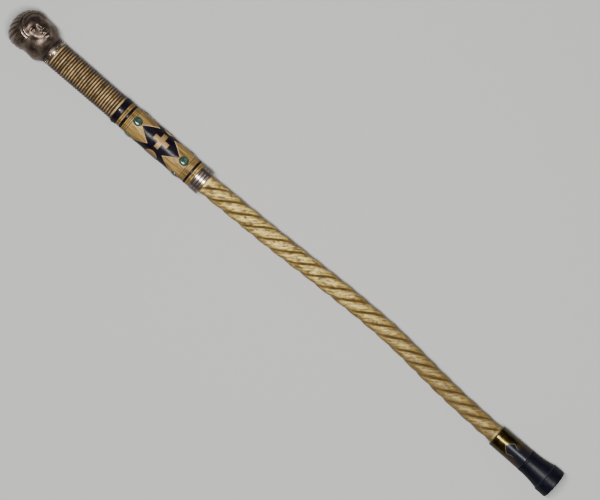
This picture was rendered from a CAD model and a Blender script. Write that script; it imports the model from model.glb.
# %% [markdown]
# # A talking stick, piece by piece
#
# A talking stick is handed round a circle, and whoever holds it may speak. This one is built like
# a walking stick: a cast metal head, a ringed grip, an inlaid barrel, a twisted wooden shaft, a
# brass ferrule and a rubber tip. Its solid model is ready. In this lesson we load the model as a
# fixed frame, and make a finely shaped and coloured piece in the place of each solid.

# %% Load the solid model
import math

import bmesh
import bpy
import numpy as np
from mathutils import Matrix, Vector, noise


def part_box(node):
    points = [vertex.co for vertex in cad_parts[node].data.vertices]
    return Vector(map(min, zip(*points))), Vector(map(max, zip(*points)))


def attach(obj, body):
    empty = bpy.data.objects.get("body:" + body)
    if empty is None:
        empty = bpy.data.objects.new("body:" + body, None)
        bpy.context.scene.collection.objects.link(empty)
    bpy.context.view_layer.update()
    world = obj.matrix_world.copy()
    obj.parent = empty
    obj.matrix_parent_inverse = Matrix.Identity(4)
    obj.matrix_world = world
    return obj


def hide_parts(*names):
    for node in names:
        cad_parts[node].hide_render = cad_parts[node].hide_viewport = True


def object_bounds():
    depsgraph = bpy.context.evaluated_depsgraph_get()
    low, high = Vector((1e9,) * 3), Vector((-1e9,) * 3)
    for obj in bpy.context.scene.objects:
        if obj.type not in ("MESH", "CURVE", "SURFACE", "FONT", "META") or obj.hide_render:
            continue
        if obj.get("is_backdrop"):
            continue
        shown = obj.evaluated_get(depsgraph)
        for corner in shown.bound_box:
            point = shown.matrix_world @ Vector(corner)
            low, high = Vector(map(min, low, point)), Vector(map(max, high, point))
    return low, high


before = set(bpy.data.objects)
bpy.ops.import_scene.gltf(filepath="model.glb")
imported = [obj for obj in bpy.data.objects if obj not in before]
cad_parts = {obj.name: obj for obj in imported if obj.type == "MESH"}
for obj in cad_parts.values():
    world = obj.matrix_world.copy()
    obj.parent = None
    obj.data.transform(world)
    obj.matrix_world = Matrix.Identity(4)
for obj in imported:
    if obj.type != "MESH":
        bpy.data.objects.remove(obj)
solid_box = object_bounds()
print("solid model:", len(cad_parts), "solids,",
      [round(v, 4) for v in solid_box[1] - solid_box[0]], "m")

# %% [markdown]
# ## The stick's own axis
#
# The stick lies on the floor, a little lower at the tip, because the head is thicker. It is much
# easier to shape each piece along a straight axis, with x counted in metres from the crown, and to
# lay the finished piece down at the end. Two turned rings of the solid model tell us where the axis
# lies: the middle of a ring's box is a point of the axis.

# %% Stations along the axis
GAP = 0.0003
LENGTH = {"head": 0.0698, "grip": 0.10542, "black_collar": 0.0084, "upper_bead": 0.0053,
          "upper_spacer": 0.0028, "barrel": 0.1048, "lower_spacer": 0.0024, "lower_bead": 0.0054,
          "silver_collar": 0.0152, "shaft": 0.4930, "ferrule": 0.0490, "rubber_tip": 0.0489}
START = {}
END = {}
station = 0.0
for part, length in LENGTH.items():
    START[part] = station
    END[part] = station + length
    station = END[part] + GAP
print("from the crown to the sole:", round(END["rubber_tip"], 4), "m")

# %% Lay a piece from its straight axis onto the floor
def middle_of(node):
    low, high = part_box(node)
    return (low + high) / 2


def middle_station(part):
    return (START[part] + END[part]) / 2


between = middle_of("ferrule") - middle_of("black_collar")
along = between.normalized()
crown = middle_of("black_collar") - along * middle_station("black_collar")
side = Vector((0, 1, 0))
LAY = Matrix.Translation(crown) @ Matrix((along, side, along.cross(side))).transposed().to_4x4()
print("tilt:", round(math.degrees(math.asin(along.z)), 3), "degrees")
print("between the rings:", round(between.length, 5), "m, and by the stations:",
      round(middle_station("ferrule") - middle_station("black_collar"), 5), "m")

# %% [markdown]
# ## Camera, floor and light
#
# The camera looks straight down on the stick, turned so that the stick runs from the upper left
# to the lower right of the picture. A long lens keeps the two ends almost as large as the middle.
# The floor is a plain pale sheet, and soft lamps light it like a small studio. The strongest is a
# long, narrow one that hangs high above the stick and parallel to it, almost behind the camera. So
# every round piece has a line of light along its middle and falls off to both sides, which shows
# its roundness.

# %% Camera over the stick
PICTURE_ANGLE = math.radians(40.84)
CAMERA_PLACE = (0.0133, 0.0132, 3.6)
SENSOR_WIDTH = 36
LENS = 167.4
camera_data = bpy.data.cameras.new("camera")
camera_data.sensor_width = SENSOR_WIDTH
camera_data.lens = LENS
camera = bpy.data.objects.new("camera", camera_data)
camera.rotation_euler = (0, 0, PICTURE_ANGLE)
camera.location = CAMERA_PLACE
bpy.context.scene.collection.objects.link(camera)
bpy.context.scene.camera = camera
print("camera height:", camera.location.z, "m")

# %% Pale floor
FLOOR_HALF_SIZE = 6
FLOOR_HEIGHT = -0.0002
floor_shape = bmesh.new()
bmesh.ops.create_grid(floor_shape, x_segments=1, y_segments=1, size=FLOOR_HALF_SIZE)
bmesh.ops.translate(floor_shape, vec=(0, 0, FLOOR_HEIGHT), verts=floor_shape.verts)
floor_mesh = bpy.data.meshes.new("floor")
floor_shape.to_mesh(floor_mesh)
floor_shape.free()
floor = bpy.data.objects.new("floor", floor_mesh)
bpy.context.scene.collection.objects.link(floor)
floor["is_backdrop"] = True
paper = bpy.data.materials.new("pale paper")
paper.use_nodes = True
paper_shader = paper.node_tree.nodes["Principled BSDF"]
paper_shader.inputs["Base Color"].default_value = (0.46, 0.455, 0.447, 1)
paper_shader.inputs["Roughness"].default_value = 0.95
paper_shader.inputs["Specular IOR Level"].default_value = 0.1
floor_mesh.materials.append(paper)
print("floor:", len(floor_mesh.polygons), "face")

# %% Soft lamps
def add_lamp(name, right, up, height, long_side, short_side, watts):
    """Lamp placed by its directions in the picture; it points at the stick and lies along it."""
    place = Matrix.Rotation(PICTURE_ANGLE, 3, "Z") @ Vector((right, up, height))
    data = bpy.data.lights.new(name, "AREA")
    data.shape = "RECTANGLE"
    data.size = long_side
    data.size_y = short_side
    data.energy = watts
    lamp = bpy.data.objects.new(name, data)
    lamp.location = place
    lamp.visible_camera = False
    back = place.normalized()
    lengthwise = (Vector((1, 0, 0)) - back * back.x).normalized()
    lamp.rotation_euler = Matrix((lengthwise, back.cross(lengthwise), back)).transposed().to_euler()
    bpy.context.scene.collection.objects.link(lamp)


add_lamp("key lamp", right=-0.09, up=-0.10, height=3.0, long_side=1.8, short_side=0.36, watts=160)
add_lamp("far lamp", right=0.9, up=1.3, height=1.8, long_side=1.2, short_side=1.2, watts=2.5)
add_lamp("near lamp", right=-1.3, up=-1.1, height=1.4, long_side=1.2, short_side=1.2, watts=0.9)
studio = bpy.data.worlds.new("studio")
bpy.context.scene.world = studio
studio.use_nodes = True
studio_light = studio.node_tree.nodes["Background"]
studio_light.inputs["Color"].default_value = (0.88, 0.86, 0.88, 1)
studio_light.inputs["Strength"].default_value = 0.08

# %% [markdown]
# ## Turning and carving
#
# Nearly every piece was made on a lathe. Blender's spin operator does the same: it turns a line of
# points round the axis. Carving is then a rule that moves the points of the turned blank. We give
# the rule whole arrays of points at once, because numpy is fast on arrays.

# %% Turn a profile on the lathe
SAME_POINT = 1e-6
ROUND_SIDES = 112


def turned(profile, sides):
    """Turn (station, radius) points round the axis; the first and last may lie on it."""
    bm = bmesh.new()
    verts = [bm.verts.new((place, 0, radius)) for place, radius in profile]
    edges = [bm.edges.new(pair) for pair in zip(verts, verts[1:])]
    if profile[0][1] > 0:
        edges.append(bm.edges.new((verts[-1], verts[0])))
    bmesh.ops.spin(bm, geom=verts + edges, cent=(0, 0, 0), axis=(1, 0, 0), dvec=(0, 0, 0),
                   angle=math.tau, space=Matrix(), steps=sides, use_merge=True, use_duplicate=False)
    bmesh.ops.remove_doubles(bm, verts=bm.verts, dist=SAME_POINT)
    return bm


def stood_out(bm, place, angle):
    """Stand a piece that was turned along the axis out of the stick, as a pin stands."""
    bmesh.ops.transform(bm, matrix=Matrix.Rotation(math.radians(-90), 4, "Y"), verts=bm.verts)
    bmesh.ops.transform(bm, matrix=Matrix.Rotation(-angle, 4, "X"), verts=bm.verts)
    bmesh.ops.translate(bm, vec=(place, 0, 0), verts=bm.verts)
    return bm


# %% Carve a turned blank
def smooth_step(low, high, value):
    share = np.clip((value - low) / (high - low), 0.0, 1.0)
    return share * share * (3 - 2 * share)


def carve(bm, rule):
    """Move every point by a rule on its station, its angle from the top line and its radius."""
    points = np.array([vert.co for vert in bm.verts])
    angle = np.arctan2(points[:, 1], points[:, 2])
    moved = rule(points[:, 0], angle, np.hypot(points[:, 1], points[:, 2]))
    for vert, place in zip(bm.verts, moved):
        vert.co = place
    return bm


def around(place, angle, radius):
    """Points at stations, angles from the top line and distances from the axis."""
    return np.stack((place, radius * np.sin(angle), radius * np.cos(angle)), axis=1)


def rough(points, fineness, seed):
    """Smooth random numbers from -1 to 1; fineness is waves in a metre, along and across."""
    scale = np.array((fineness[0], fineness[1], fineness[1]))
    offset = Vector((seed, 0, 0))
    return np.array([noise.noise(Vector(point) + offset) for point in points * scale])


# %% [markdown]
# ## Hollows and high places
#
# On an old stick the hollows are dark with wax and dirt, and the high places are rubbed pale. To
# paint that, the material must know where the hollows are. We smooth a copy of the mesh and measure
# how far each point lies below it. Smoothing also shrinks a round piece a little all over, so the
# middle value counts as level ground. The answer is kept on the mesh as an attribute named hollow,
# which is above zero in a hollow and below zero on a ridge.

# %% Measure the hollows of a mesh
def mark_hollows(mesh, depth, rounds):
    """Keep how far each point lies under the smoothed surface, in shares of a depth."""
    count = len(mesh.vertices)
    points = np.empty(count * 3)
    mesh.vertices.foreach_get("co", points)
    points = points.reshape(-1, 3)
    ends = np.empty(len(mesh.edges) * 2, dtype=np.int64)
    mesh.edges.foreach_get("vertices", ends)
    first, second = ends.reshape(-1, 2).T
    links = np.bincount(ends, minlength=count)[:, None]
    level = points.copy()
    for _ in range(rounds):
        sums = [np.bincount(first, level[second, axis], count)
                + np.bincount(second, level[first, axis], count) for axis in range(3)]
        level = 0.4 * level + 0.6 * np.stack(sums, axis=1) / links
    normals = np.empty(count * 3)
    mesh.vertices.foreach_get("normal", normals)
    under = ((level - points) * normals.reshape(-1, 3)).sum(axis=1) / depth
    under -= np.median(under)
    hollow = mesh.attributes.new("hollow", "FLOAT", "POINT")
    hollow.data.foreach_set("value", under.astype(np.float32))
    return np.percentile(under, (5, 95))


# %% Hand over a finished piece
def finish_piece(name, bm, material, nodes, depth=0.0003, rounds=12, crease=38):
    """Lay the piece down, give it its material and put it in the place of its solids."""
    bmesh.ops.transform(bm, matrix=LAY, verts=bm.verts)
    for vert in bm.verts:
        vert.co.z = max(vert.co.z, 0.0)
    bmesh.ops.recalc_face_normals(bm, faces=bm.faces)
    mesh = bpy.data.meshes.new(name)
    bm.to_mesh(mesh)
    bm.free()
    mesh.materials.append(material)
    mesh.shade_smooth()
    mesh.set_sharp_from_angle(angle=math.radians(crease))
    low, high = mark_hollows(mesh, depth, rounds)
    piece = bpy.data.objects.new(name, mesh)
    bpy.context.scene.collection.objects.link(piece)
    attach(piece, "root")
    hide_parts(*nodes)
    print(f"{name}: {len(mesh.polygons)} faces, hollows mostly from {low:.2f} to {high:.2f}")


def gathered(shapes):
    """Put several shapes into one."""
    whole = bmesh.new()
    for shape in shapes:
        bmesh.ops.recalc_face_normals(shape, faces=shape.faces)
        carrier = bpy.data.meshes.new("carrier")
        shape.to_mesh(carrier)
        shape.free()
        whole.from_mesh(carrier)
        bpy.data.meshes.remove(carrier)
    return whole


# %% [markdown]
# ## A small paint box
#
# The materials are built from the same few nodes again and again: a noise that is stretched along
# the grain, a value from an attribute, a colour ramp, a mix and a bump. Each gets a short function,
# so that a material reads like a recipe. One more tells how far a surface rounds away: a thick old
# varnish looks darker there, because one looks through more of it. The last function hands the
# finished colour, roughness and bumps to the shader.

# %% Nodes and their sockets
def feed(tree, node, values):
    """Give each socket a number, a colour or the result of another node."""
    for socket, value in values.items():
        if isinstance(value, (int, float, tuple)):
            node.inputs[socket].default_value = value
        else:
            tree.links.new(value, node.inputs[socket])
    return node


def new_finish(name):
    material = bpy.data.materials.new(name)
    material.use_nodes = True
    return material, material.node_tree


def read(tree, name, result="Fac"):
    """An attribute of the mesh, as a value or as a vector."""
    node = tree.nodes.new("ShaderNodeAttribute")
    node.attribute_name = name
    return node.outputs[result]


# %% Values for the paint box
def spread(tree, value, low, high, to_low=0.0, to_high=1.0):
    """Stretch a value so that low becomes to_low and high becomes to_high, and no further."""
    node = feed(tree, tree.nodes.new("ShaderNodeMapRange"), {
        "Value": value, "From Min": low, "From Max": high, "To Min": to_low, "To Max": to_high})
    return node.outputs["Result"]


def grain(tree, stretch, low, high, detail=4.0, roughness=0.55, twist=0.0, on=None):
    """Noise with so many blotches in a metre along, across and up, stretched from low to high.

    It lies on the places in the finished piece, or on those kept in an attribute.
    """
    if on:
        place = read(tree, on, "Vector")
    else:
        place = tree.nodes.new("ShaderNodeTexCoord").outputs["Object"]
    mapping = feed(tree, tree.nodes.new("ShaderNodeMapping"), {"Vector": place, "Scale": stretch})
    blotches = feed(tree, tree.nodes.new("ShaderNodeTexNoise"), {
        "Vector": mapping.outputs["Vector"], "Scale": 1.0, "Detail": detail,
        "Roughness": roughness, "Distortion": twist})
    return spread(tree, blotches.outputs["Fac"], low, high)


def reckon(tree, operation, *values):
    """Reckon with numbers or with the results of other nodes."""
    node = tree.nodes.new("ShaderNodeMath")
    node.operation = operation
    return feed(tree, node, dict(enumerate(values))).outputs["Value"]


def rounding_away(tree, low, high, to_low, to_high):
    """How far the surface turns away, stretched; 0 faces the viewer and 1 is seen edge on."""
    node = feed(tree, tree.nodes.new("ShaderNodeLayerWeight"), {"Blend": 0.5})
    return spread(tree, node.outputs["Facing"], low, high, to_low, to_high)


# %% Colours for the paint box
def colours(tree, value, stops):
    """Colour ramp through (place, (red, green, blue)) stops."""
    node = feed(tree, tree.nodes.new("ShaderNodeValToRGB"), {"Fac": value})
    ramp = node.color_ramp
    while len(ramp.elements) < len(stops):
        ramp.elements.new(0.5)
    for element, (place, colour) in zip(ramp.elements, stops):
        element.position = place
        element.color = (*colour, 1)
    return node.outputs["Color"]


def mixed(tree, share, under, over, most=1.0):
    """Lay one colour over another by a share, of at most so much."""
    if most < 1:
        share = reckon(tree, "MULTIPLY", share, most)
    if isinstance(under, tuple):
        under = (*under, 1)
    node = tree.nodes.new("ShaderNodeMix")
    node.data_type = "RGBA"
    return feed(tree, node, {"Factor": share, 6: under, 7: (*over, 1)}).outputs[2]


def complete(material, bumps, values):
    """Stack bumps of (height, depth in metres) and give them and the values to the shader."""
    tree = material.node_tree
    below = {}
    for height, depth in bumps:
        bump = feed(tree, tree.nodes.new("ShaderNodeBump"), {
            "Strength": 1.0, "Distance": depth, "Height": height, **below})
        below = {"Normal": bump.outputs["Normal"]}
    feed(tree, tree.nodes["Principled BSDF"], {**values, **below})
    print(f"{material.name}: {len(tree.nodes)} nodes")


# %% [markdown]
# ## The head: its finish
#
# The head is cast metal with a dark brown patina. Hands have rubbed its high places, so the metal
# shows there and shines, while the hollows stay dull and almost black. The whole is a metal, and
# only its colour and its roughness follow the hollows.

# %% Patinated cast metal
cast_metal, tree = new_finish("dark cast metal")
hollow = read(tree, "hollow")
clouds = grain(tree, (110, 110, 110), 0.35, 0.65, 5)
specks = grain(tree, (900, 900, 900), 0.35, 0.65, 3)
patina = colours(tree, clouds, ((0.0, (0.068, 0.046, 0.038)), (0.55, (0.130, 0.093, 0.074)),
                                (1.0, (0.205, 0.155, 0.112))))
rubbed = mixed(tree, spread(tree, hollow, -0.45, -1.40, 0.0, 0.65), patina, (0.42, 0.35, 0.27))
dirty = mixed(tree, spread(tree, hollow, 0.35, 1.2, 0.0, 0.75), rubbed, (0.020, 0.014, 0.012))
speckled = mixed(tree, specks, dirty, (0.03, 0.024, 0.02), 0.22)
dull = reckon(tree, "MULTIPLY_ADD", clouds, 0.10, spread(tree, hollow, -1.0, 0.6, 0.18, 0.44))
complete(cast_metal, ((specks, 0.00003), (clouds, 0.00014)), {
    "Base Color": speckled, "Roughness": dull, "Metallic": 0.95})

# %% [markdown]
# ## The head: its shape
#
# The real head was modelled in wax and cast. Its outline is a dome, a slight waist and a neck, and
# the lathe gives that. Hair is combed straight back from the face in pleats, behind a headband of
# two thin ridges. The face is a plain, calm one in even thirds. It is built from soft mounds, each
# with a place, a size and a height, as a modeller adds pellets of clay. Points are spread unevenly:
# the columns crowd together at the face, because the eyes and lips need them.

# %% Outline of the head
# The outline below the dome is (down, out) in shares of the head's length and radius.
HEAD_LENGTH = LENGTH["head"]
HEAD_RADIUS = 0.0256
DOME_LENGTH = 0.0178
NECK_RADIUS = 0.0182
NECK_LENGTH = 0.0075
HEAD_OUTLINE = ((0.39, 0.985), (0.50, 0.93), (0.62, 0.945), (0.73, 0.965), (0.795, 0.89))


def through(points, place):
    """Height of a smooth line through points, at many places at once."""
    across = np.array([point[0] for point in points])
    height = np.array([point[1] for point in points])
    place = np.clip(place, across[0], across[-1])
    low = np.clip(np.searchsorted(across, place) - 1, 0, len(points) - 2)
    high = low + 1
    before = np.maximum(low - 1, 0)
    after = np.minimum(low + 2, len(points) - 1)
    width = across[high] - across[low]
    low_slope = (height[high] - height[before]) / (across[high] - across[before]) * width
    high_slope = (height[after] - height[low]) / (across[after] - across[low]) * width
    share = (place - across[low]) / width
    return ((2 * share**3 - 3 * share**2 + 1) * height[low]
            + (share**3 - 2 * share**2 + share) * low_slope
            + (3 * share**2 - 2 * share**3) * height[high] + (share**3 - share**2) * high_slope)


def head_outline(place):
    """Radius of the plain head at stations down from the crown."""
    neck = HEAD_LENGTH - NECK_LENGTH
    points = [(DOME_LENGTH, HEAD_RADIUS)]
    points += [(down * HEAD_LENGTH, out * HEAD_RADIUS) for down, out in HEAD_OUTLINE]
    points += [(neck - 0.3 * NECK_LENGTH, NECK_RADIUS + 0.05 * HEAD_RADIUS),
               (neck, NECK_RADIUS), (HEAD_LENGTH, NECK_RADIUS)]
    share = np.clip((DOME_LENGTH - place) / DOME_LENGTH, 0.0, 1.0)
    dome = HEAD_RADIUS * np.sqrt(1 - share**2)
    return np.where(place < DOME_LENGTH, dome, through(points, place))


BROW_STATION = 0.027
print("radius at the brow:", round(float(head_outline(np.array([BROW_STATION]))[0]), 4), "m")

# %% Mounds of the face
# Each is (down, out, tall, wide, height) in shares of the head's length: down from the crown, and
# out from the middle line of the face, the same on both sides.
FACE_MOUNDS = {
    "forehead": (0.300, 0.000, 0.090, 0.170, 0.010),
    "brow": (0.390, 0.100, 0.020, 0.070, 0.016),
    "eye socket": (0.436, 0.097, 0.034, 0.058, -0.028),
    "eyeball": (0.438, 0.097, 0.024, 0.038, 0.030),
    "nose bridge": (0.440, 0.000, 0.045, 0.024, 0.022),
    "nose": (0.500, 0.000, 0.045, 0.026, 0.040),
    "nose tip": (0.552, 0.000, 0.020, 0.028, 0.045),
    "nose wing": (0.556, 0.040, 0.018, 0.020, 0.020),
    "nostril": (0.575, 0.022, 0.007, 0.011, -0.008),
    "cheek": (0.520, 0.170, 0.070, 0.070, 0.018),
    "lip hollow": (0.594, 0.000, 0.013, 0.009, -0.006),
    "mouth": (0.630, 0.000, 0.045, 0.085, 0.018),
    "upper lip": (0.614, 0.000, 0.013, 0.060, 0.020),
    "mouth line": (0.629, 0.000, 0.006, 0.065, -0.018),
    "mouth corner": (0.629, 0.066, 0.009, 0.010, -0.008),
    "lower lip": (0.645, 0.000, 0.014, 0.052, 0.022),
    "chin hollow": (0.678, 0.000, 0.012, 0.045, -0.012),
    "chin": (0.718, 0.000, 0.032, 0.060, 0.034),
}


def face_mounds(down, out):
    lift = np.zeros_like(down)
    for place, apart, tall, wide, height in FACE_MOUNDS.values():
        lift += height * np.exp(-((down - place) / tall) ** 2 - ((out - apart) / wide) ** 2)
    return lift


print("mounds:", len(FACE_MOUNDS))

# %% Eyelids
EYE_LINE = 0.441
EYE_OUT = 0.097
EYE_HALF_WIDTH = 0.049
UPPER_LID = 0.0045
LOWER_LID = 0.0042


def eyelids(down, out):
    """Two thin rims round each almond-shaped eye, and a crease over the upper one."""
    across = (out - EYE_OUT) / EYE_HALF_WIDTH
    open_share = np.clip(1 - across**2, 0.0, 1.0)
    inside = 1 - smooth_step(0.85, 1.15, np.abs(across))
    from_upper = down - (EYE_LINE - 0.0200 * open_share**0.7)
    from_lower = down - (EYE_LINE + 0.0120 * open_share**0.9)
    rims = 0.0075 * np.exp(-(from_upper / UPPER_LID) ** 2)
    rims = rims + 0.0045 * np.exp(-(from_lower / LOWER_LID) ** 2)
    crease = -0.0045 * np.exp(-((from_upper + 0.0120) / UPPER_LID) ** 2)
    return (rims + crease) * inside


# %% Edge of the face
JAW_START = 0.0363
JAW_END = 0.0530
FACE_MIDDLE = 0.0335
FACE_HALF_LENGTH = 0.0192
FACE_HALF_WIDTH = 0.0164
FACE_STEP = 0.0012


def face_lift(place, side_step):
    """How far the face stands out at a station and a distance from its middle line."""
    down = place / HEAD_LENGTH
    out = np.abs(side_step) / HEAD_LENGTH
    narrow = 1 - 0.45 * smooth_step(JAW_START, JAW_END, place)
    oval = np.hypot((place - FACE_MIDDLE) / FACE_HALF_LENGTH,
                    side_step / (FACE_HALF_WIDTH * narrow))
    step = FACE_STEP * (1 - smooth_step(0.72, 1.14, oval))
    return HEAD_LENGTH * (face_mounds(down, out) + eyelids(down, out)) + step


# %% Pleated hair and headband
HAIR_CENTRE = 0.0293
PLEAT = math.radians(14)
PLEAT_HEIGHT = 0.0011
BAND_INNER = math.radians(36)
BAND_OUTER = math.radians(47)
BAND_EDGE = math.radians(2.5)
BAND_HEIGHT = 0.00055
RIM_WIDTH = math.radians(1.3)
RIM_HEIGHT = 0.00038
BAND_GROOVE = 0.00030


def hair_lift(down, side_step, front):
    """Lift of the band and of the pleats, as seen from the middle of the head."""
    tilt = np.arctan2(np.hypot(down, side_step), front)
    turn = np.arctan2(side_step, -down)
    above = 1 - smooth_step(math.radians(94), math.radians(98), np.abs(turn))
    behind = smooth_step(BAND_OUTER, BAND_OUTER + BAND_EDGE, tilt)
    band = smooth_step(BAND_INNER - BAND_EDGE, BAND_INNER, tilt) - behind
    rims = (np.exp(-((tilt - BAND_INNER - 1.2 * RIM_WIDTH) / RIM_WIDTH) ** 2)
            + np.exp(-((tilt - BAND_OUTER + RIM_WIDTH) / RIM_WIDTH) ** 2))
    groove = np.exp(-((tilt - (BAND_INNER + BAND_OUTER) / 2) / (1.6 * RIM_WIDTH)) ** 2)
    fold = 2 * ((turn / PLEAT) % 1) - 1
    uneven = 0.92 + 0.07 * np.sin(5.3 * np.floor(turn / PLEAT) + 1.0)
    strands = 0.07 * np.cos(3.5 * math.pi * fold + 2.2 * np.sin(3.0 * tilt)) - 0.07
    pleats = PLEAT_HEIGHT * uneven * (1 - np.abs(fold) ** 2.4 + strands) * behind * np.sin(tilt)
    return above * (BAND_HEIGHT * band + RIM_HEIGHT * rims * (band > 0)
                    - BAND_GROOVE * groove + pleats)


# %% A rule that carves the head
FACE_TURN = math.radians(27)
FACE_FULLNESS = 0.0030
FULL_FROM = (0.0105, 0.0223)
FULL_TO = (0.0433, 0.0558)
CROWDING = 0.64


def carved_head(place, column, radius):
    """Columns crowd together at the face; then hair, band and face stand out of the plain head."""
    angle = column - CROWDING * np.sin(column)
    plain = head_outline(place)
    small = HEAD_LENGTH / 350
    lower = head_outline(place + small)
    slope = (lower - head_outline(np.maximum(place - small, 0.0))) / (2 * small)
    full = 1 - smooth_step(math.radians(55), math.radians(115), np.abs(angle))
    full = FACE_FULLNESS * full
    plain = plain + full * smooth_step(*FULL_FROM, place) * (1 - smooth_step(*FULL_TO, place))
    side_step = plain * np.sin(angle)
    front = plain * np.cos(angle)
    face = face_lift(place, side_step) * smooth_step(0.0, 0.35, np.cos(angle))
    lift = hair_lift(place - HAIR_CENTRE, side_step, front) + np.where(front > 0, face, 0.0)
    out = lift / np.hypot(1.0, slope)
    on_skin = (radius > 0.5 * HEAD_RADIUS) & (place < HEAD_LENGTH - SAME_POINT)
    shown = around(place - slope * out, angle + FACE_TURN, plain + out)
    return np.where(on_skin[:, None], shown, around(place, column + FACE_TURN, radius))


# %% Turn and carve the head
HEAD_SIDES = 336
DOME_ROWS = 52
FACE_ROWS = 180
NECK_ROWS = 24
FACE_REACH = 0.0365
SOCKET_RADIUS = 0.0103
SOCKET_DEPTH = 0.018
EASE = 0.0004
rows = [DOME_LENGTH * (1 - math.cos(math.pi / 2 * row / DOME_ROWS)) for row in range(1, DOME_ROWS)]
rows += [DOME_LENGTH + FACE_REACH * row / FACE_ROWS for row in range(FACE_ROWS)]
rows += list(np.linspace(DOME_LENGTH + FACE_REACH, HEAD_LENGTH - EASE, NECK_ROWS))
blank = [(0.0, 0.0)] + [(row, 1.1 * HEAD_RADIUS) for row in rows]
blank += [(HEAD_LENGTH, NECK_RADIUS - EASE), (HEAD_LENGTH, SOCKET_RADIUS),
          (HEAD_LENGTH - SOCKET_DEPTH, SOCKET_RADIUS), (HEAD_LENGTH - SOCKET_DEPTH, 0.0)]
head = carve(turned(blank, HEAD_SIDES), carved_head)
finish_piece("cast_head", head, cast_metal, ["head_knob"],
             depth=0.00022, rounds=24, crease=60)

# %% [markdown]
# ## Pins
#
# Round-headed pins hold the head on its grip, and four smaller ones sit in the black collar. A pin
# is a tiny dome, turned once, stood up, and set round the stick. Polished white metal is the
# brightest finish on the stick, so its colour stays plain and the scratches do the work. Where it
# rounds away it mirrors dark surroundings, so its sides are darkened.

# %% Polished silver
silver, tree = new_finish("polished silver")
hollow = read(tree, "hollow")
brushed = grain(tree, (2200, 25, 25), 0.3, 0.7, 3)
tarnish = grain(tree, (160, 160, 160), 0.42, 0.70, 5)
bright = mixed(tree, brushed, (0.42, 0.335, 0.285), (0.56, 0.465, 0.400))
aged = mixed(tree, tarnish, bright, (0.18, 0.13, 0.10), 0.55)
grooved = mixed(tree, spread(tree, hollow, 0.05, 0.5, 0.0, 0.95), aged, (0.025, 0.018, 0.02))
turning = rounding_away(tree, 0.12, 0.60, 0.0, 0.85)
scratched = reckon(tree, "MULTIPLY_ADD", tarnish, 0.10, spread(tree, brushed, 0.0, 1.0, 0.20, 0.27))
complete(silver, ((brushed, 0.000004),), {
    "Base Color": mixed(tree, turning, grooved, (0.060, 0.042, 0.038)),
    "Roughness": scratched, "Metallic": 1.0})

# %% Pins round a piece
COLLAR_RADIUS = 0.0187
PIN_LIFT = 0.0002
PIN_SIDES = 20


def pins(count, radius, rise, place, seat, turn):
    """Pins with a rounded edge and a flatter top, evenly round the stick."""
    made = []
    for number in range(count):
        dome = [(seat, 0), (seat, radius)]
        dome += [(seat + rise * math.sin(step), radius * math.cos(step) ** 0.6)
                 for step in np.linspace(0.15, 1.4, 7)]
        dome.append((seat + rise, 0))
        angle = turn + math.tau * number / count
        made.append(stood_out(turned(dome, PIN_SIDES), place, angle))
    return gathered(made)


neck_pins = pins(count=8, radius=0.0016, rise=0.0010, place=END["head"] - 0.0038,
                 seat=NECK_RADIUS + PIN_LIFT, turn=FACE_TURN)
finish_piece("neck_pins", neck_pins, silver,
             [f"neck_pin_{number + 1}" for number in range(8)], depth=0.002, rounds=3)
collar_pins = pins(count=4, radius=0.0013, rise=0.0009, place=START["black_collar"] + 0.0032,
                   seat=COLLAR_RADIUS + PIN_LIFT, turn=math.radians(-2))
finish_piece("collar_pins", collar_pins, silver,
             [f"collar_pin_{number + 1}" for number in range(4)], depth=0.002, rounds=3)

# %% [markdown]
# ## The ringed grip
#
# The grip is one turned piece with twenty-eight rings, which keep a hand from slipping. Each ring
# is a soft round bead between two narrow grooves. A lathe would make them all alike; the real ones
# were cut by hand and then worn, so each ring gets its own small error in height and a gentle wave
# round the stick. The hollow attribute paints the grooves dark brown and the crests pale tan.

# %% Worn tan and brown finish
grip_horn, tree = new_finish("ringed horn")
worn = grain(tree, (140, 110, 110), 0.35, 0.68, 5, 0.6)
fibres = grain(tree, (1900, 90, 90), 0.3, 0.7, 4)
ring_tints = grain(tree, (230, 16, 16), 0.3, 0.7, 3)
depth_seen = read(tree, "hollow")
for blotches, least, greatest in ((worn, -0.171, 0.209), (ring_tints, -0.18, 0.18)):
    blotches = spread(tree, blotches, 0.0, 1.0, least, greatest)
    depth_seen = reckon(tree, "ADD", depth_seen, blotches)
tan = colours(tree, spread(tree, depth_seen, -0.40, 0.60), (
    (0.0, (0.68, 0.450, 0.180)), (0.20, (0.40, 0.250, 0.090)), (0.42, (0.100, 0.056, 0.015)),
    (0.62, (0.026, 0.013, 0.003)), (1.0, (0.010, 0.005, 0.0012))))
streaked = mixed(tree, fibres, tan, (0.06, 0.032, 0.009), 0.30)
turning = rounding_away(tree, 0.04, 0.48, 0.0, 0.87)
complete(grip_horn, ((fibres, 0.00006), (worn, 0.00015)), {
    "Base Color": mixed(tree, turning, streaked, (0.030, 0.018, 0.010)),
    "Roughness": spread(tree, depth_seen, -0.4, 0.5, 0.42, 0.66), "Specular IOR Level": 0.4})

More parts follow.
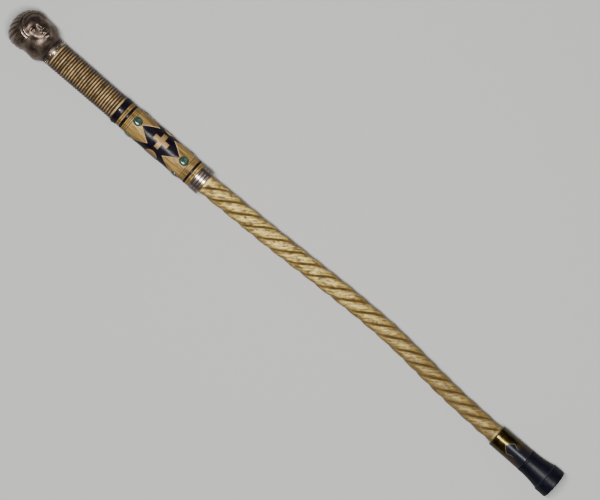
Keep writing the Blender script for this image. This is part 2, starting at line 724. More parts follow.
# %% Profile of the rings
RING_COUNT = 28
RING_PITCH = 0.003765
RING_RADIUS = 0.0184
RING_TAPER = 0.0006
RING_ERROR = 0.00006
GROOVE_DEPTH = 0.0012
SPIGOT_RADIUS = 0.0100
SPIGOT_LENGTH = 0.0170
SPIGOT_EASE = 0.0008
UPPER_BORE = 0.0093
BORE_DEPTH = 0.0223
chance = np.random.default_rng(7)
ring_errors = chance.uniform(-1, 1, RING_COUNT)
spigot_start = START["grip"] - GAP - SPIGOT_LENGTH
rings = [(spigot_start, 0), (spigot_start, SPIGOT_RADIUS - SPIGOT_EASE),
         (spigot_start + SPIGOT_EASE, SPIGOT_RADIUS), (START["grip"], SPIGOT_RADIUS)]
for ring in range(RING_COUNT):
    crest = RING_RADIUS - RING_TAPER * ring / (RING_COUNT - 1)
    crest = crest + RING_ERROR * ring_errors[ring] - RING_ERROR
    for share in np.linspace(0, 1, 11)[:-1]:
        rings.append((START["grip"] + (ring + share) * RING_PITCH,
                      crest - GROOVE_DEPTH * abs(2 * share - 1) ** 1.7))
bore_end = END["grip"] - BORE_DEPTH
rings += [(END["grip"], 0.0167), (END["grip"], UPPER_BORE), (bore_end, UPPER_BORE), (bore_end, 0.0)]
print("ring profile:", len(rings), "points")

# %% Carve the worn rings
def worn_rings(place, angle, radius):
    """Each ring wanders a little along the stick and up and down."""
    outer = smooth_step(0.0150, 0.0160, radius) * smooth_step(0.0, 0.002, place - START["grip"])
    outer = outer * smooth_step(0.0, 0.002, END["grip"] - place)
    blanks = around(place, angle, radius)
    drift = rough(blanks, (130, 70), 3.0)
    dents = rough(blanks, (420, 300), 11.0)
    lift = outer * (0.00010 * drift + 0.00005 * dents - 0.00006)
    return around(place + 0.00016 * drift * outer, angle, radius + lift)


grip = carve(turned(rings, ROUND_SIDES), worn_rings)
finish_piece("ringed_grip", grip, grip_horn, ["grip"], depth=0.00055, rounds=14)

# %% [markdown]
# ## Collars, beads and spacers
#
# Between the grip, the barrel and the shaft sit narrow rings: a polished black collar, pairs of
# pale half-round beads, thin black spacers and a silver collar with three ridges. Each is a short
# profile with eased edges. No edge that a hand meets is ever perfectly sharp, and an eased edge
# catches a thin line of light.

# %% Polished black finish
black_horn, tree = new_finish("polished black")
smoke = grain(tree, (90, 140, 140), 0.35, 0.7, 4)
hairlines = grain(tree, (500, 1800, 1800), 0.45, 0.75, 3)
ink = mixed(tree, smoke, (0.0025, 0.0016, 0.0042), (0.0090, 0.0062, 0.0130))
rubbed_edge = spread(tree, read(tree, "hollow"), -0.3, -2.0, 0.0, 0.6)
polish = reckon(tree, "MULTIPLY_ADD", hairlines, 0.10, spread(tree, smoke, 0.0, 1.0, 0.23, 0.32))
complete(black_horn, ((hairlines, 0.00001), (smoke, 0.00010)), {
    "Base Color": mixed(tree, rubbed_edge, ink, (0.028, 0.023, 0.026)), "Roughness": polish,
    "Specular IOR Level": rounding_away(tree, 0.25, 0.75, 0.12, 0.03)})

# %% Pale varnished wood
barrel_wood, tree = new_finish("pale varnished wood")
hollow = read(tree, "hollow")
bands = grain(tree, (28, 210, 210), 0.32, 0.68, 3, 0.5, 0.6)
lines = grain(tree, (70, 1300, 1300), 0.32, 0.70, 5, 0.6)
pores = grain(tree, (260, 3600, 3600), 0.52, 0.74, 2)
body = colours(tree, bands, ((0.0, (0.120, 0.064, 0.012)), (0.40, (0.320, 0.195, 0.046)),
                             (1.0, (0.720, 0.480, 0.130))))
lined = mixed(tree, lines, body, (0.105, 0.055, 0.010), 0.72)
pored = mixed(tree, pores, lined, (0.055, 0.028, 0.006), 0.60)
ridged = mixed(tree, spread(tree, hollow, -0.15, -0.7, 0.0, 0.6), pored, (0.54, 0.35, 0.14))
grooved = mixed(tree, spread(tree, hollow, 0.06, 0.36, 0.0, 0.95), ridged, (0.020, 0.010, 0.003))
worn_edge = reckon(tree, "MULTIPLY", read(tree, "edge"), spread(tree, lines, 0.0, 1.0, 1.0, 0.45))
edged = mixed(tree, worn_edge, grooved, (0.66, 0.44, 0.25))
scored = mixed(tree, read(tree, "cut_line"), edged, (0.024, 0.013, 0.005), 0.88)
turning = rounding_away(tree, 0.06, 0.50, 0.0, 0.55)
complete(barrel_wood, ((pores, -0.00005), (lines, -0.00007)), {
    "Base Color": mixed(tree, turning, scored, (0.080, 0.045, 0.012)),
    "Roughness": spread(tree, lines, 0.0, 1.0, 0.44, 0.60), "Specular IOR Level": 0.4})

# %% Profiles of the rings
def ring_profile(part, outline, bore):
    """Outline points are (station from the ring's start, radius); the bore is straight."""
    points = [(START[part] + place, radius) for place, radius in outline]
    return points + [(END[part], bore), (START[part], bore)]


def eased(length, radius, ease):
    """A plain band whose two edges are rounded."""
    turn = np.linspace(0, math.pi / 2, 5)
    left = [(ease * (1 - math.sin(a)), radius - ease * (1 - math.cos(a))) for a in turn[::-1]]
    right = [(length - place, height) for place, height in left[::-1]]
    return left + right


def beads(length, radius, depth):
    """Two half-round beads side by side, with a sharp groove between them."""
    points = []
    for bead in range(2):
        for share in np.linspace(0, 1, 10)[:-1]:
            bulge = math.sqrt(max(0.0, 1 - (2 * share - 1) ** 2))
            points.append(((bead + share) * length / 2, radius - depth * (1 - bulge)))
    return points + [(length, radius - depth)]


# %% Turn the plain rings
LOWER_BORE = 0.0083
SPACER_RADIUS = 0.0181
SPACER_EASE = 0.0005
BEAD_RADIUS = 0.0179
BEAD_DEPTH = 0.0013
COLLAR_EASE = 0.0009


def turn_black_ring(name, node, radius, ease, bore):
    outline = eased(LENGTH[node], radius, ease)
    ring = turned(ring_profile(node, outline, bore), ROUND_SIDES)
    finish_piece(name, ring, black_horn, [node], depth=0.0005, rounds=6)


def turn_beads(name, node, bore):
    outline = beads(LENGTH[node], BEAD_RADIUS, BEAD_DEPTH)
    ring = turned(ring_profile(node, outline, bore), ROUND_SIDES)
    finish_piece(name, ring, barrel_wood, [node], depth=0.0005, rounds=6)


turn_black_ring("black_collar_ring", "black_collar", COLLAR_RADIUS, COLLAR_EASE, UPPER_BORE)
turn_beads("upper_beads", "upper_bead", UPPER_BORE)
turn_black_ring("upper_black_ring", "upper_spacer", SPACER_RADIUS, SPACER_EASE, UPPER_BORE)
turn_black_ring("lower_black_ring", "lower_spacer", SPACER_RADIUS, SPACER_EASE, LOWER_BORE)
turn_beads("lower_beads", "lower_bead", LOWER_BORE)

# %% Turn the silver collar
SILVER_SIDES = 128
RIDGE_COUNT = 3
LIP_ROOM = 0.0024
RIDGE_GROOVE = 0.0002
ridge_length = (LENGTH["silver_collar"] - LIP_ROOM) / RIDGE_COUNT
outline = eased(LIP_ROOM - RIDGE_GROOVE, 0.0178, 0.0006)
for number in range(RIDGE_COUNT):
    start = LIP_ROOM + number * ridge_length
    ridge = eased(ridge_length - RIDGE_GROOVE, 0.0184, 0.0007)
    outline += [(start + place, radius) for place, radius in ridge]
silver_collar = turned(ring_profile("silver_collar", outline, LOWER_BORE), SILVER_SIDES)
finish_piece("ridged_silver_collar", silver_collar, silver, ["silver_collar"],
             depth=0.0005, rounds=5)

# %% [markdown]
# ## The barrel
#
# The barrel is turned from pale wood, with a few fine lines at each end. Its middle is cut away
# along a zigzag for a black band, and the wood's cut edge is eased, so it shows as a bright line.
# A lathe makes only straight rows, so we turn numbered rows first and then move each row to its
# own station, which may change with the angle. That keeps long, clean faces along the zigzag.

# %% Measures of the barrel and its band
BARREL_TURN = math.radians(11.5)
BARREL_SIDES = 192
BARREL_RADIUS = 0.0189
BARREL_TAPER = 0.0005
FACE_COUNT = 4
STONE_RADIUS = 0.0059
UPPER_STONES = START["barrel"] + 0.0128
LOWER_STONES = END["barrel"] - 0.0146
BAND_MIDDLE = (UPPER_STONES + LOWER_STONES) / 2 + 0.0003
BAND_HALF = (LOWER_STONES - UPPER_STONES) / 2 - STONE_RADIUS - 0.0015
BAND_NOTCH = 0.0118


def barrel_radius(place):
    return BARREL_RADIUS - BARREL_TAPER * (place - START["barrel"]) / LENGTH["barrel"]


def face_angle(face):
    return BARREL_TURN + math.tau * face / FACE_COUNT


def band_reach(angle):
    """Half length of the band: long in the middle of each of four faces, short between them."""
    quarter = math.tau / FACE_COUNT
    off = abs((angle - BARREL_TURN + quarter / 2) % quarter - quarter / 2)
    return BAND_HALF + (BAND_NOTCH - BAND_HALF) * off / (quarter / 2)


print("band from", round(BAND_MIDDLE - BAND_HALF, 4), "to", round(BAND_MIDDLE + BAND_HALF, 4), "m")

# %% Rows that may wander
def lathe_rows(rows):
    """Turn numbered rows, then ask each row for its station and radius at every angle."""
    ladder = turned([(number + 1, 1.0) for number in range(len(rows))], BARREL_SIDES)
    for vert in ladder.verts:
        angle = math.atan2(vert.co.y, vert.co.z) + BARREL_TURN
        place, radius = rows[round(vert.co.x) - 1](angle)
        vert.co = (place, radius * math.sin(angle), radius * math.cos(angle))
    bmesh.ops.remove_doubles(ladder, verts=ladder.verts, dist=SAME_POINT)
    return ladder


def fixed(place, radius):
    return lambda angle: (place, radius)


# %% Rows along the zigzag
# A way of -1 is the side of the band towards the head, and 1 the side towards the tip.
FINE_END = 0.0084
EDGE_STEPS = ((0.0024, 0.0), (0.0017, 0.00008), (0.0010, 0.00028), (0.0004, 0.00058),
              (0.0, 0.0009), (0.0, 0.0022))


def toward_band(way, share):
    """Row of the wood between the fine lines and the eased edge of the zigzag."""
    def row(angle):
        far = START["barrel"] + FINE_END if way < 0 else END["barrel"] - FINE_END
        edge = BAND_MIDDLE + way * (band_reach(angle) + EDGE_STEPS[0][0])
        place = far + (edge - far) * share
        return place, barrel_radius(place)
    return row


def at_band(way, back, drop):
    """Row along the zigzag, so far back from the edge and so far below the wood."""
    def row(angle):
        place = BAND_MIDDLE + way * (band_reach(angle) + back)
        return place, barrel_radius(place) - drop
    return row


# %% Fine lines at the ends
LINE_STEPS = (0.0002, 0.0024, 0.0046, 0.0073)
LINE_WIDTH = 0.00042
LINE_DEPTH = 0.0005
FINE_LINES = [START["barrel"] + step for step in LINE_STEPS]
FINE_LINES += [END["barrel"] - step for step in LINE_STEPS]


def line_share(place):
    """How deep in a fine line a station is, from 0 to 1."""
    nearest = min(abs(place - line) for line in FINE_LINES)
    return math.exp(-(nearest / LINE_WIDTH) ** 2)


def fine_lines(start, length, radius):
    """Turned end of the barrel, with a small groove at every fine line."""
    stations = np.linspace(start, start + length, 49)
    return [fixed(place, radius - LINE_DEPTH * line_share(place)) for place in stations]


print("fine lines:", len(FINE_LINES))

# %% Turn the barrel
TENON_LENGTH = 0.0220
UPPER_TENON = 0.0090
LOWER_TENON = 0.0080
TURNED_END = 0.0072
tenon_start = END["grip"] - TENON_LENGTH
tenon_end = START["shaft"] + TENON_LENGTH
rows = [fixed(tenon_start, 0), fixed(tenon_start, UPPER_TENON), fixed(START["barrel"], UPPER_TENON)]
rows += fine_lines(START["barrel"], TURNED_END, 0.0182)
rows += [fixed(START["barrel"] + 0.0075, 0.0184), fixed(START["barrel"] + 0.0079, 0.0188)]
rows += [toward_band(-1, share) for share in np.linspace(0, 1, 25)[:-1]]
rows += [at_band(-1, back, drop) for back, drop in EDGE_STEPS]
rows += [at_band(1, back, drop) for back, drop in EDGE_STEPS[::-1]]
rows += [toward_band(1, share) for share in np.linspace(1, 0, 25)[1:]]
rows += [fixed(END["barrel"] - 0.0079, 0.0183), fixed(END["barrel"] - 0.0075, 0.0179)]
rows += fine_lines(END["barrel"] - TURNED_END, TURNED_END, 0.0177)
rows += [fixed(END["barrel"], LOWER_TENON), fixed(tenon_end, LOWER_TENON), fixed(tenon_end, 0)]
barrel = lathe_rows(rows)
print("barrel blank:", len(barrel.verts), "points in", len(rows), "rows")

# %% Mark the eased edge and the fine lines
edge_layer = barrel.verts.layers.float.new("edge")
line_layer = barrel.verts.layers.float.new("cut_line")
for vert in barrel.verts:
    back = abs(vert.co.x - BAND_MIDDLE) - band_reach(math.atan2(vert.co.y, vert.co.z))
    on_edge = 1 - float(smooth_step(0.0005, 0.0015, back))
    vert[edge_layer] = on_edge if back > -0.0001 else 0.0
    vert[line_layer] = line_share(vert.co.x)
print("points on the eased edge:", sum(vert[edge_layer] > 0.5 for vert in barrel.verts))

# %% [markdown]
# ## Cutting seats
#
# Eight round seats are drilled for the stones, and pockets are cut in the band for the crosses and
# ovals. A Boolean does this as a drill or a chisel would: a cutter is made a little larger than
# what goes in, with a widening mouth that eases the edge, and its volume is taken away.

# %% Take cutters away from a shape
def linked(name, bm):
    bmesh.ops.recalc_face_normals(bm, faces=bm.faces)
    mesh = bpy.data.meshes.new(name)
    bm.to_mesh(mesh)
    bm.free()
    thing = bpy.data.objects.new(name, mesh)
    bpy.context.scene.collection.objects.link(thing)
    return thing


def cut_away(bm, cutters):
    """Exact Boolean difference; gives back the cut shape and removes the helpers."""
    body = linked("body", bm)
    tool = linked("tool", gathered(cutters))
    modifier = body.modifiers.new("cut", "BOOLEAN")
    modifier.operation = "DIFFERENCE"
    modifier.solver = "EXACT"
    modifier.object = tool
    seen = body.evaluated_get(bpy.context.evaluated_depsgraph_get())
    result = bmesh.new()
    result.from_mesh(seen.to_mesh())
    seen.to_mesh_clear()
    for thing in (body, tool):
        mesh = thing.data
        bpy.data.objects.remove(thing)
        bpy.data.meshes.remove(mesh)
    return result


# %% Drill the stone seats
# A seat is (height from the barrel's surface, distance beyond the stone) points.
SEAT = ((-0.0026, 0.0002), (-0.0011, 0.0002), (-0.0002, 0.0007), (0.003, 0.0009))
SEAT_SIDES = 48


def stone_drill(place, angle):
    skin = barrel_radius(place)
    outline = [(skin + high, STONE_RADIUS + beyond) for high, beyond in SEAT]
    outline = [(outline[0][0], 0)] + outline + [(outline[-1][0], 0)]
    return stood_out(turned(outline, SEAT_SIDES), place, angle)


STONE_PLACES = [(place, face_angle(face)) for place in (UPPER_STONES, LOWER_STONES)
                for face in range(FACE_COUNT)]
barrel = cut_away(barrel, [stone_drill(place, angle) for place, angle in STONE_PLACES])
finish_piece("inlaid_barrel", barrel, barrel_wood, ["barrel"],
             depth=0.0005, rounds=6, crease=30)

# %% [markdown]
# ## Stones
#
# The eight stones are green cabochons: round, flat underneath and domed on top. The finish is a
# cloudy green with dark and pale flecks under a very smooth polish. Mottling in depth can't be
# carved, so it is left to the noise, in three sizes.

# %% Mottled green stone
green_stone, tree = new_finish("mottled green stone")
clouds = grain(tree, (300, 300, 300), 0.32, 0.68, 4, 0.6, 1.2)
flecks = grain(tree, (1500, 1500, 1500), 0.50, 0.68, 4, 0.6, 0.8)
veins = grain(tree, (600, 600, 600), 0.58, 0.66, 2, 0.5, 3.0)
green = colours(tree, clouds, ((0.0, (0.004, 0.012, 0.008)), (0.45, (0.016, 0.042, 0.030)),
                               (0.8, (0.040, 0.095, 0.068)), (1.0, (0.110, 0.200, 0.140))))
darker = mixed(tree, flecks, green, (0.004, 0.014, 0.007), 0.7)
complete(green_stone, (), {
    "Base Color": mixed(tree, veins, darker, (0.15, 0.28, 0.21), 0.30),
    "Roughness": spread(tree, flecks, 0.0, 1.0, 0.13, 0.24),
    "Coat Weight": 0.25, "Coat Roughness": 0.10})

# %% Shape and set the stones
STONE_SIDES = 40
STONE_RISE = 0.0021
STONE_FOOT = 0.0024
FOOT_EASE = 0.0003
GIRDLE_DROP = 0.0008


def stone(place, angle):
    skin = barrel_radius(place)
    foot = skin - STONE_FOOT
    girdle = skin - GIRDLE_DROP
    outline = [(foot, 0), (foot, STONE_RADIUS - FOOT_EASE), (foot + FOOT_EASE, STONE_RADIUS)]
    outline += [(girdle + STONE_RISE * math.sin(a), STONE_RADIUS * math.cos(a) ** 0.85)
                for a in np.linspace(0, math.pi / 2, 13)[:-1]]
    outline.append((girdle + STONE_RISE, 0))
    return stood_out(turned(outline, STONE_SIDES), place, angle)


for row, first in (("upper", 0), ("lower", FACE_COUNT)):
    places = STONE_PLACES[first:first + FACE_COUNT]
    stones = gathered([stone(place, angle) for place, angle in places])
    finish_piece(f"{row}_stones", stones, green_stone,
                 [f"{row}_stone_{face + 1}" for face in range(FACE_COUNT)])

# %% [markdown]
# ## Crosses and ovals
#
# Four plates are let into the black band: a square cross at the front and the back, and an oval
# with flat sides between them. A plate starts flat, as it would be sawn from sheet. It gets its
# thickness and its eased edge while it is flat, and is then bent round the barrel: across becomes
# an angle, and height becomes distance from the axis.

# %% Warm inlay finish
inlay_brass, tree = new_finish("warm inlay")
haze = grain(tree, (120, 160, 160), 0.35, 0.68, 4)
scratches = grain(tree, (400, 2600, 2600), 0.45, 0.75, 3)
warm = mixed(tree, haze, (0.23, 0.130, 0.045), (0.36, 0.225, 0.082))
scraped = mixed(tree, scratches, warm, (0.12, 0.062, 0.022), 0.40)
rubbed_edge = spread(tree, read(tree, "hollow"), -0.3, -2.2, 0.0, 0.6)
rubbed = mixed(tree, rubbed_edge, scraped, (0.58, 0.41, 0.16))
turning = rounding_away(tree, 0.15, 0.60, 0.0, 0.75)
complete(inlay_brass, ((scratches, -0.00001),), {
    "Base Color": mixed(tree, turning, rubbed, (0.050, 0.030, 0.012)),
    "Roughness": spread(tree, haze, 0.0, 1.0, 0.42, 0.54), "Metallic": 0.30})

# %% Flat plates
CROSS_SPAN = 0.0226
CROSS_ARM = 0.0068
OVAL_LENGTH = 0.0206
OVAL_WIDTH = 0.0232
END_STEPS = 7
ARM_STEPS = 6


def flat_cross(grow):
    """Grid in the shape of a cross, with its cells lined up on the arms."""
    half = CROSS_SPAN / 2 + grow
    arm = CROSS_ARM / 2 + grow
    steps = list(np.linspace(-half, -arm, END_STEPS + 1))
    steps += list(np.linspace(-arm, arm, ARM_STEPS + 1))[1:]
    steps += list(np.linspace(arm, half, END_STEPS + 1))[1:]
    cells = len(steps) - 1
    bm = bmesh.new()
    bmesh.ops.create_grid(bm, x_segments=cells, y_segments=cells, size=cells / 2)
    for vert in bm.verts:
        vert.co = (*(steps[round(value + cells / 2)] for value in vert.co[:2]), 0)
    corners = [face for face in bm.faces
               if min(abs(v) for v in face.calc_center_median()[:2]) > arm]
    bmesh.ops.delete(bm, geom=corners, context="FACES")
    return bm


def flat_oval(grow):
    """Disc turned from a row of points and drawn out into an oval."""
    bm = bmesh.new()
    spokes = [bm.verts.new((share, 0, 0)) for share in np.linspace(0, 1, 13)]
    edges = [bm.edges.new(pair) for pair in zip(spokes, spokes[1:])]
    bmesh.ops.spin(bm, geom=spokes + edges, cent=(0, 0, 0), axis=(0, 0, 1), dvec=(0, 0, 0),
                   angle=math.tau, space=Matrix(), steps=64, use_merge=True, use_duplicate=False)
    bmesh.ops.remove_doubles(bm, verts=bm.verts, dist=SAME_POINT)
    size = Matrix.Diagonal((OVAL_LENGTH / 2 + grow, OVAL_WIDTH / 2 + grow, 1, 1))
    bmesh.ops.transform(bm, matrix=size, verts=bm.verts)
    return bm


# %% Thicken, ease and bend a plate
def bent_plate(bm, angle, top, floor, ease):
    """Give a flat plate its thickness and an eased upper edge, and bend it round the barrel."""
    grown = bmesh.ops.extrude_face_region(bm, geom=list(bm.faces))
    lifted = [item for item in grown["geom"] if isinstance(item, bmesh.types.BMVert)]
    bmesh.ops.translate(bm, vec=(0, 0, top - floor), verts=lifted)
    if ease:
        raised = {vert for vert in bm.verts if vert.co.z > (top - floor) / 2}
        rim = [edge for edge in bm.edges if set(edge.verts) <= raised
               and any(not set(face.verts) <= raised for face in edge.link_faces)]
        bmesh.ops.bevel(bm, geom=rim, offset=ease, offset_type="OFFSET", affect="EDGES", segments=2,
                        profile=0.5, material=-1, clamp_overlap=True)
    for vert in bm.verts:
        place = BAND_MIDDLE + vert.co.x
        radius = barrel_radius(place) + floor + vert.co.z
        turn = angle + vert.co.y / barrel_radius(place)
        vert.co = (place, radius * math.sin(turn), radius * math.cos(turn))
    return bm


# %% Turn the black band
BAND_CLEARANCE = 0.0003
BAND_DROP = 0.00025
BAND_EDGE_STEPS = ((1, 0.0020), (1, BAND_DROP + 0.0003), (0.985, BAND_DROP + 0.00008))


def band_row(share, drop):
    def row(angle):
        place = BAND_MIDDLE + share * (band_reach(angle) - BAND_CLEARANCE)
        return place, barrel_radius(place) - drop
    return row


rows = [band_row(-share, drop) for share, drop in BAND_EDGE_STEPS]
rows += [band_row(share, BAND_DROP) for share in np.linspace(-0.96, 0.96, 41)]
rows += [band_row(share, drop) for share, drop in BAND_EDGE_STEPS[::-1]]
band = lathe_rows(rows)
print("band blank:", len(band.verts), "points")

# %% Cut the pockets and set the plates
PLATES = (("front_cross", flat_cross, 0), ("side_oval", flat_oval, -1),
          ("back_cross", flat_cross, 2), ("far_oval", flat_oval, 1))
POCKET_CLEARANCE = 0.0002
pockets = [bent_plate(shape(POCKET_CLEARANCE), face_angle(face), top=0.003, floor=-0.0016, ease=0)
           for _, shape, face in PLATES]
band = cut_away(band, pockets)
finish_piece("black_band", band, black_horn, ["inlay_band"],
             depth=0.0005, rounds=5, crease=30)
for name, shape, face in PLATES:
    plate = bent_plate(shape(0.0), face_angle(face), top=0.0004, floor=-0.0014, ease=0.00035)
    finish_piece(f"{name}_plate", plate, inlay_brass, [name], depth=0.0003, rounds=4)

# %% [markdown]
# ## The twisted shaft
#
# Four broad strands run round the shaft as a left-hand twist. A carver marks the four grooves,
# saws them, and rounds the wood between them. Here each column of points belongs to a strand, and
# is turned with it, so the grooves stay clean however long they are. The shaft also has a slow
# natural bow. Before the points are twisted we keep where they were, in an attribute: the nicks of
# the tools are painted on those places, so they follow the strands.

# %% Worn shaft wood
shaft_wood, tree = new_finish("worn twisted wood")
hollow = read(tree, "hollow")
patches = grain(tree, (85, 170, 170), 0.38, 0.62, 4, 0.6, 0.8)
fibres = grain(tree, (95, 760, 760), 0.36, 0.64, 5, 0.62, 0.4)
nicks = grain(tree, (190, 560, 560), 0.53, 0.63, 3, 0.5, 1.6, on="untwisted")
body = colours(tree, patches, ((0.0, (0.165, 0.094, 0.020)), (0.45, (0.460, 0.295, 0.068)),
                               (1.0, (1.000, 0.760, 0.190))))
fibred = mixed(tree, fibres, body, (0.135, 0.074, 0.014), 0.54)
nicked = mixed(tree, nicks, fibred, (0.075, 0.037, 0.007), 0.70)
pale = mixed(tree, spread(tree, hollow, -0.04, -0.16, 0.0, 0.66), nicked, (1.00, 0.79, 0.235))
aged = mixed(tree, read(tree, "smoked"), pale, (0.130, 0.080, 0.022), 0.69)
shaded = mixed(tree, spread(tree, hollow, 0.05, 0.40, 0.0, 0.75), aged, (0.085, 0.045, 0.010))
stain = spread(tree, patches, 0.0, 1.0, 0.92, 0.80)
stain = reckon(tree, "MULTIPLY", read(tree, "valley"), stain)
grooved = mixed(tree, stain, shaded, (0.080, 0.044, 0.010))
sawn = mixed(tree, spread(tree, hollow, 0.35, 0.9, 0.0, 0.8), grooved, (0.030, 0.015, 0.004))
turning = rounding_away(tree, 0.03, 0.46, 0.0, 0.83)
complete(shaft_wood, ((nicks, -0.00025), (fibres, -0.00014)), {
    "Base Color": mixed(tree, turning, sawn, (0.095, 0.056, 0.016)),
    "Roughness": spread(tree, fibres, 0.0, 1.0, 0.29, 0.47),
    "Specular IOR Level": 0.48, "Specular Tint": (1.0, 0.94, 0.80, 1)})

# %% Twist and bow of the shaft
SHAFT_LENGTH = LENGTH["shaft"]
TWIST_START = math.radians(-37.6)
FIRST_PITCH = 0.1040
LAST_PITCH = 0.0940
BOW = 0.0093
BOW_STATION = 0.2880
BOW_END = 0.040
STRANDS = 4
HALF_STRAND = 0.0112


def twist_angle(down):
    """Turn of the strands; the pitch shortens slowly from the first to the last."""
    change = (LAST_PITCH - FIRST_PITCH) / SHAFT_LENGTH
    down = np.clip(down, 0, SHAFT_LENGTH)
    return TWIST_START + math.tau / change * np.log(1 + change * down / FIRST_PITCH)


def bow(down):
    """Sideways set of the shaft, straight again at both ends."""
    width = np.where(down < BOW_STATION, 0.1660, 0.1020)
    swell = np.exp(-((down - BOW_STATION) / width) ** 2)
    return (BOW * swell * smooth_step(0, BOW_END, down)
            * smooth_step(0, BOW_END, SHAFT_LENGTH - down))


def across_strand(column):
    """Place across a strand: -1 and 1 are its two grooves, and 0 its crest."""
    return 2 * ((column * STRANDS / math.tau) % 1) - 1


def crowded(column):
    """Gather the columns at the four grooves, where the shape turns sharply."""
    strand = across_strand(column)
    moved = 0.25 * strand + 0.75 * np.sin(strand * math.pi / 2)
    return column + (moved - strand) * math.tau / (2 * STRANDS)


print("turns:", round(float(twist_angle(SHAFT_LENGTH) - TWIST_START) / math.tau, 2))

# %% A rule that carves the strands
INSIDE_RADIUS = 0.0125
GROOVE_DROP = 0.0021
SAW_CUT = 0.00090
SAW_WIDTH = 0.0016
FADE = 0.006


def carved_shaft(place, column, radius):
    """Round strands with narrow grooves, uneven as hand work is, then twisted and bowed."""
    down = place - START["shaft"]
    skin = (radius > INSIDE_RADIUS) & (down > 0.0001) & (down < SHAFT_LENGTH - 0.0001)
    column = np.where(skin, crowded(column), column)
    strand = across_strand(column)
    straight = around(place, column, np.full_like(place, 0.0135))
    fade = smooth_step(0, FADE, down) * smooth_step(0, FADE, SHAFT_LENGTH - down)
    hand = 1 + 0.22 * rough(straight, (34, 45), 2.0)
    carving = GROOVE_DROP * hand * fade * np.abs(strand) ** 2.3
    from_groove = (1 - np.abs(strand)) * HALF_STRAND
    carving += SAW_CUT * fade * np.exp(-(from_groove / SAW_WIDTH) ** 2)
    lumps = 0.00034 * rough(straight, (48, 95), 5.0)
    chips = np.minimum(rough(straight, (120, 260), 9.0) - 0.05, 0.10)
    shown = radius - carving + (lumps + 0.00060 * chips - 0.00018) * fade
    at_end = np.where(down < SHAFT_LENGTH / 2, 0.0, SHAFT_LENGTH)
    turned_by = twist_angle(np.where(skin, down, at_end))
    points = around(place, column + turned_by, np.where(skin, shown, radius))
    points[:, 1] += np.where(skin, bow(down), 0.0)
    return points


# %% Turn the shaft
SHAFT_ROWS = 470
SHAFT_RADIUS = 0.0143
SHAFT_TAPER = 0.0017
TIP_TENON = 0.0120
shaft_start = START["shaft"]
bore_end = shaft_start + BORE_DEPTH
tenon_end = START["rubber_tip"] + 0.0280
blank = [(bore_end, 0), (bore_end, LOWER_BORE), (shaft_start, LOWER_BORE)]
blank += [(shaft_start + SHAFT_LENGTH * row / SHAFT_ROWS,
           SHAFT_RADIUS - SHAFT_TAPER * row / SHAFT_ROWS) for row in range(SHAFT_ROWS + 1)]
blank += [(END["shaft"], TIP_TENON), (tenon_end, TIP_TENON), (tenon_end, 0)]
shaft = turned(blank, ROUND_SIDES)
print("shaft blank:", len(shaft.verts), "points")

# %% Mark and carve the shaft
VALLEY_WIDTH = 0.0027
straight_layer = shaft.verts.layers.float_vector.new("untwisted")
valley_layer = shaft.verts.layers.float.new("valley")
smoked_layer = shaft.verts.layers.float.new("smoked")
for vert in shaft.verts:
    vert[straight_layer] = vert.co
    column = float(crowded(math.atan2(vert.co.y, vert.co.z)))
    from_groove = (1 - abs(across_strand(column))) * HALF_STRAND
    vert[valley_layer] = math.exp(-(from_groove / VALLEY_WIDTH) ** 4)
    vert[smoked_layer] = float(smooth_step(0.14, 0.40, vert.co.x - shaft_start))
carve(shaft, carved_shaft)
finish_piece("twisted_shaft", shaft, shaft_wood, ["shaft"],
             depth=0.00075, rounds=10, crease=60)

# %% [markdown]
# ## The ferrule
#
# A brass sleeve keeps the end of the shaft from splitting. It is gold at the top, goes brown, and
# towards the tip it is covered by a black coating. The coating's front is a rounded tongue with a
# thin pale line round it, where the bare metal shows. The tongue is not a shape but a colour, so it
# is kept as two attributes: how black the coating is, and how strong the pale line is.

# %% Brass with a black coating
dark_brass, tree = new_finish("coated brass")
coating = read(tree, "coating")
rim_line = read(tree, "rim")
stains = grain(tree, (150, 170, 170), 0.34, 0.68, 5, 0.6)
dents = grain(tree, (60, 90, 90), 0.3, 0.7, 3)
brass = mixed(tree, stains, (0.052, 0.034, 0.013), (0.145, 0.106, 0.022))
coated = mixed(tree, coating, brass, (0.0080, 0.0068, 0.0110))
lined = mixed(tree, rim_line, coated, (0.20, 0.175, 0.135), 0.8)
rubbed_edge = spread(tree, read(tree, "hollow"), -0.3, -1.5, 0.0, 0.5)
edged = mixed(tree, rubbed_edge, lined, (0.17, 0.12, 0.05))
turning = rounding_away(tree, 0.08, 0.55, 0.0, 0.72)
bare = reckon(tree, "SUBTRACT", 1.0, reckon(tree, "MAXIMUM", coating, rim_line))
polish = reckon(tree, "MULTIPLY_ADD", stains, 0.08, spread(tree, coating, 0.0, 1.0, 0.20, 0.24))
complete(dark_brass, ((stains, 0.00002), (dents, 0.00006)), {
    "Base Color": mixed(tree, turning, edged, (0.040, 0.028, 0.019)),
    "Metallic": bare, "Roughness": polish,
    "Specular IOR Level": rounding_away(tree, 0.25, 0.75, 0.16, 0.03),
    "Specular Tint": (0.80, 0.95, 1.0, 1)})

# %% Turn the ferrule
FERRULE_SIDES = 240
FERRULE_RADIUS = 0.0154
FERRULE_BORE = 0.0123
outline = eased(LENGTH["ferrule"], FERRULE_RADIUS, 0.0008)
middle = [(place, FERRULE_RADIUS) for place in np.linspace(0.0010, 0.0480, 170)]
outline = outline[:5] + middle + outline[5:]
ferrule = turned(ring_profile("ferrule", outline, FERRULE_BORE), FERRULE_SIDES)
print("ferrule:", len(ferrule.verts), "points")

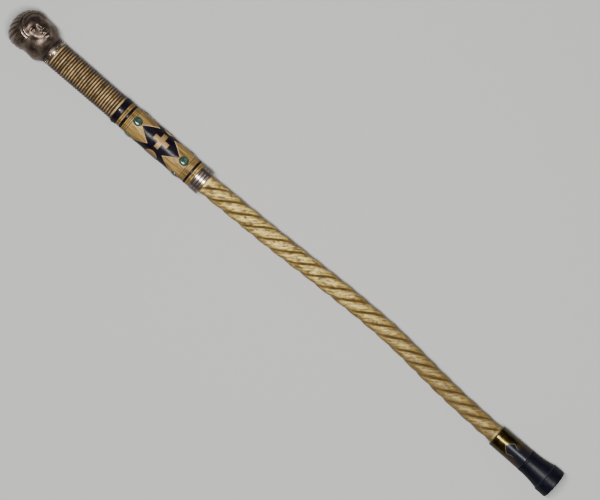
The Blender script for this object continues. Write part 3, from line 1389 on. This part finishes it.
# %% Paint the tongue of the coating
# The tongue's edge is (down from the ferrule's start, half its width).
TONGUE = ((0.0160, 0.0), (0.0176, 0.0024), (0.0205, 0.0056), (0.0240, 0.0082), (0.0262, 0.0080),
          (0.0290, 0.0064), (0.0330, 0.0060), (0.0490, 0.0060))
TONGUE_START = TONGUE[0][0]
TONGUE_TURN = math.radians(7)
PALE_LINE = 0.00034
coating_layer = ferrule.verts.layers.float.new("coating")
rim_layer = ferrule.verts.layers.float.new("rim")
for vert in ferrule.verts:
    down = vert.co.x - START["ferrule"]
    arc = FERRULE_RADIUS * (math.atan2(vert.co.y, vert.co.z) + TONGUE_TURN)
    wobble = 0.0004 * noise.noise(Vector((down * 300, arc * 300, 3.0)))
    beyond = (abs(arc) - float(through(TONGUE, down)) + wobble) * 0.75
    inside = float(1 - smooth_step(-0.0006, 0.0, beyond))
    inside = inside * float(smooth_step(TONGUE_START, 0.0170, down))
    cloud = 0.0070 * noise.noise(Vector((down * 90, vert.co.y * 90, vert.co.z * 90)))
    vert[coating_layer] = max(inside, float(smooth_step(0.0200, 0.0390, down + cloud)))
    line = math.exp(-(beyond / PALE_LINE) ** 2) * float(smooth_step(0.0156, 0.0164, down))
    vert[rim_layer] = 0.9 * line * float(1 - smooth_step(0.0285, 0.0350, down))
finish_piece("coated_ferrule", ferrule, dark_brass, ["ferrule"],
             depth=0.0004, rounds=6)

# %% [markdown]
# ## The rubber tip
#
# The tip is a moulded rubber cup: a small lip, a neck, a flare and a thick base, with rings in its
# sole for grip. Rubber is dull and blue-black, with a fine grain and grey dust in its corners.

# %% Dull black rubber
black_rubber, tree = new_finish("black rubber")
grit = grain(tree, (2400, 2400, 2400), 0.3, 0.7, 3)
dust = grain(tree, (110, 150, 150), 0.45, 0.75, 5, 0.6)
rubber = mixed(tree, grit, (0.0012, 0.0012, 0.0040), (0.0036, 0.0036, 0.0090))
dusty = mixed(tree, dust, rubber, (0.010, 0.011, 0.018), 0.25)
corners = spread(tree, read(tree, "hollow"), 0.1, 0.8, 0.0, 0.4)
complete(black_rubber, ((grit, 0.00003), (dust, 0.00010)), {
    "Base Color": mixed(tree, corners, dusty, (0.020, 0.020, 0.026)),
    "Roughness": spread(tree, dust, 0.0, 1.0, 0.37, 0.47),
    "Specular IOR Level": rounding_away(tree, 0.25, 0.75, 0.13, 0.03)})

# %% Cup, lip and flare of the tip
CUP_RADIUS = 0.0157
FLARE = 0.0031
FLARE_START = 0.0080
BASE_LENGTH = 0.0170
CUP_DEPTH = 0.0283
tip_start = START["rubber_tip"]
tip_end = END["rubber_tip"]
base = tip_end - BASE_LENGTH
LIP = ((0.0, 0.0154), (0.0003, 0.0158), (0.0008, 0.0159), (0.0014, 0.0159), (0.0019, 0.0158),
       (0.0022, CUP_RADIUS), (0.0040, CUP_RADIUS), (0.0060, CUP_RADIUS))
profile = [(tip_start + CUP_DEPTH, 0), (tip_start + CUP_DEPTH, FERRULE_BORE),
           (tip_start, FERRULE_BORE)]
profile += [(tip_start + place, radius) for place, radius in LIP]
profile += [(tip_start + FLARE_START + (base - tip_start - FLARE_START) * share,
             CUP_RADIUS + FLARE * (0.35 * share + 0.65 * share**2))
            for share in np.linspace(0, 1, 14)]
print("cup profile:", len(profile), "points")

# %% Base and sole of the tip
BASE_RADIUS = 0.0201
SOLE_EASE = 0.0015
SOLE_RINGS = ((0.0160, 0.0148), (0.0124, 0.0112), (0.0088, 0.0076), (0.0052, 0.0040))
RING_SLOPE = 0.0003
groove_floor = tip_end - 0.0008
profile += [(base + 0.0004, 0.0193), (base + 0.0006, 0.0198), (base + 0.0011, BASE_RADIUS)]
profile += [(place, BASE_RADIUS) for place in np.linspace(base + 0.0020, tip_end - 0.0016, 8)]
profile += [(tip_end - SOLE_EASE * (1 - math.sin(a)), 0.0186 + SOLE_EASE * math.cos(a))
            for a in np.linspace(0.2, math.pi / 2, 6)]
for outer, inner in SOLE_RINGS:
    profile += [(tip_end, outer), (groove_floor, outer - RING_SLOPE),
                (groove_floor, inner + RING_SLOPE), (tip_end, inner)]
profile.append((tip_end, 0))
rubber_tip = turned(profile, ROUND_SIDES)
finish_piece("moulded_rubber_tip", rubber_tip, black_rubber, ["rubber_tip"],
             depth=0.0005, rounds=6)

# %% [markdown]
# ## Check the size and hand over
#
# The dressed stick must keep the size of the solid model. We write both boxes to a file, so that
# they can be compared, and let the frame check that every piece rides on the stick.

# %% Write the two boxes
dressed_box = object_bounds()
for name, box in (("solid", solid_box), ("dressed", dressed_box)):
    print(f"{name}:", [[round(v, 4) for v in corner] for corner in box])
